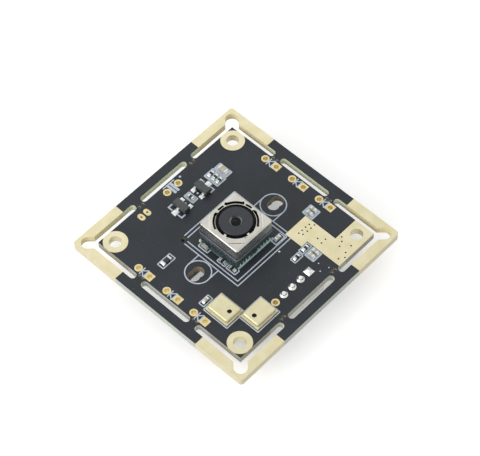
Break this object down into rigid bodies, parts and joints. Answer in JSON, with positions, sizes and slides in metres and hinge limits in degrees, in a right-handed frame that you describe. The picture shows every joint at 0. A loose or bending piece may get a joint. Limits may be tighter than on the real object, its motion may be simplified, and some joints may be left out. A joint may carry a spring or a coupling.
{
  "type": "autofocus camera board",
  "caption": "Square camera board with a sprung autofocus lens module, metal-lidded microphones, plated mounting holes, a break-off rail and a cable socket behind.",
  "frame": {"origin": "on the optical axis, at the centre of the square of mounting holes, on the board's front face", "axes": "+Z out of the front face along the optical axis, the way the lens looks; +X and +Y along the board's edges, with the cable socket's row of pins towards -Y"},
  "size_m": [0.038, 0.038, 0.0111],
  "materials": {
    "board": "satin dark blue-grey solder mask",
    "plating": "matt gold plate",
    "print": "matt white ink",
    "module_board": "satin laminate",
    "silicon": "polished",
    "filter": "clear, blue-green",
    "black_plastic": "matt",
    "spring": "thin leaf",
    "magnet": "nickel plate",
    "coil": "enamelled wire",
    "can": "satin drawn sheet",
    "lens": "coated",
    "microphone_lid": "satin gold plate",
    "microphone_board": "satin",
    "chip": "matt moulding",
    "tin": "bright tin",
    "resistor": "glazed",
    "capacitor": "fired clay body, satin",
    "socket": "natural nylon",
    "pin": "tin plate",
    "ferrite": "matt"
  },
  "bodies": {
    "camera": {"back_capacitor_bodies": "capacitor", "back_capacitor_ends": "tin", "back_lands": "plating", "bare_pad": "plating", "capacitor_bodies": "capacitor", "capacitor_ends": "tin", "circuit_board": "board", "corner_plating": "plating", "crystal_base": "black_plastic", "crystal_can": "can", "crystal_leads": "tin", "front_lands": "plating", "image_sensor": "silicon", "inductor_core": "ferrite", "inductor_ends": "tin", "infrared_filter": "filter", "lower_spring": "spring", "magnets": "magnet", "memory_body": "chip", "memory_leads": "tin", "microphone_base_1": "microphone_board", "microphone_base_2": "microphone_board", "microphone_chips_1": "silicon", "microphone_chips_2": "silicon", "microphone_lid_1": "microphone_lid", "microphone_lid_2": "microphone_lid", "module_substrate": "module_board", "motor_base": "black_plastic", "motor_can": "can", "printed_lines": "print", "processor_body": "chip", "processor_lands": "plating", "regulator_1_body": "chip", "regulator_1_leads": "tin", "regulator_2_body": "chip", "regulator_2_leads": "tin", "resistor_bodies": "resistor", "resistor_ends": "tin", "screw_hole_pads": "plating", "sensor_holder": "black_plastic", "socket_housing": "socket", "socket_pins": "pin", "solder_joints": "tin", "solder_pads": "plating", "spring_spacer": "black_plastic", "transistor_1_body": "chip", "transistor_1_leads": "tin", "transistor_2_body": "chip", "transistor_2_leads": "tin", "upper_spring": "spring"},
    "lens": {"lens_carrier": "black_plastic", "focus_coil": "coil", "lens_barrel": "black_plastic", "front_lens": "lens", "rear_lens_elements": "lens"}
  },
  "joints": [
    {"name": "focus", "type": "slide", "parent": "camera", "child": "lens", "axis": [0, 0, 1], "range_m": [0, 0.0003], "stiffness_N_per_m": 50, "deforming": ["upper_spring", "lower_spring"]}
  ]
}
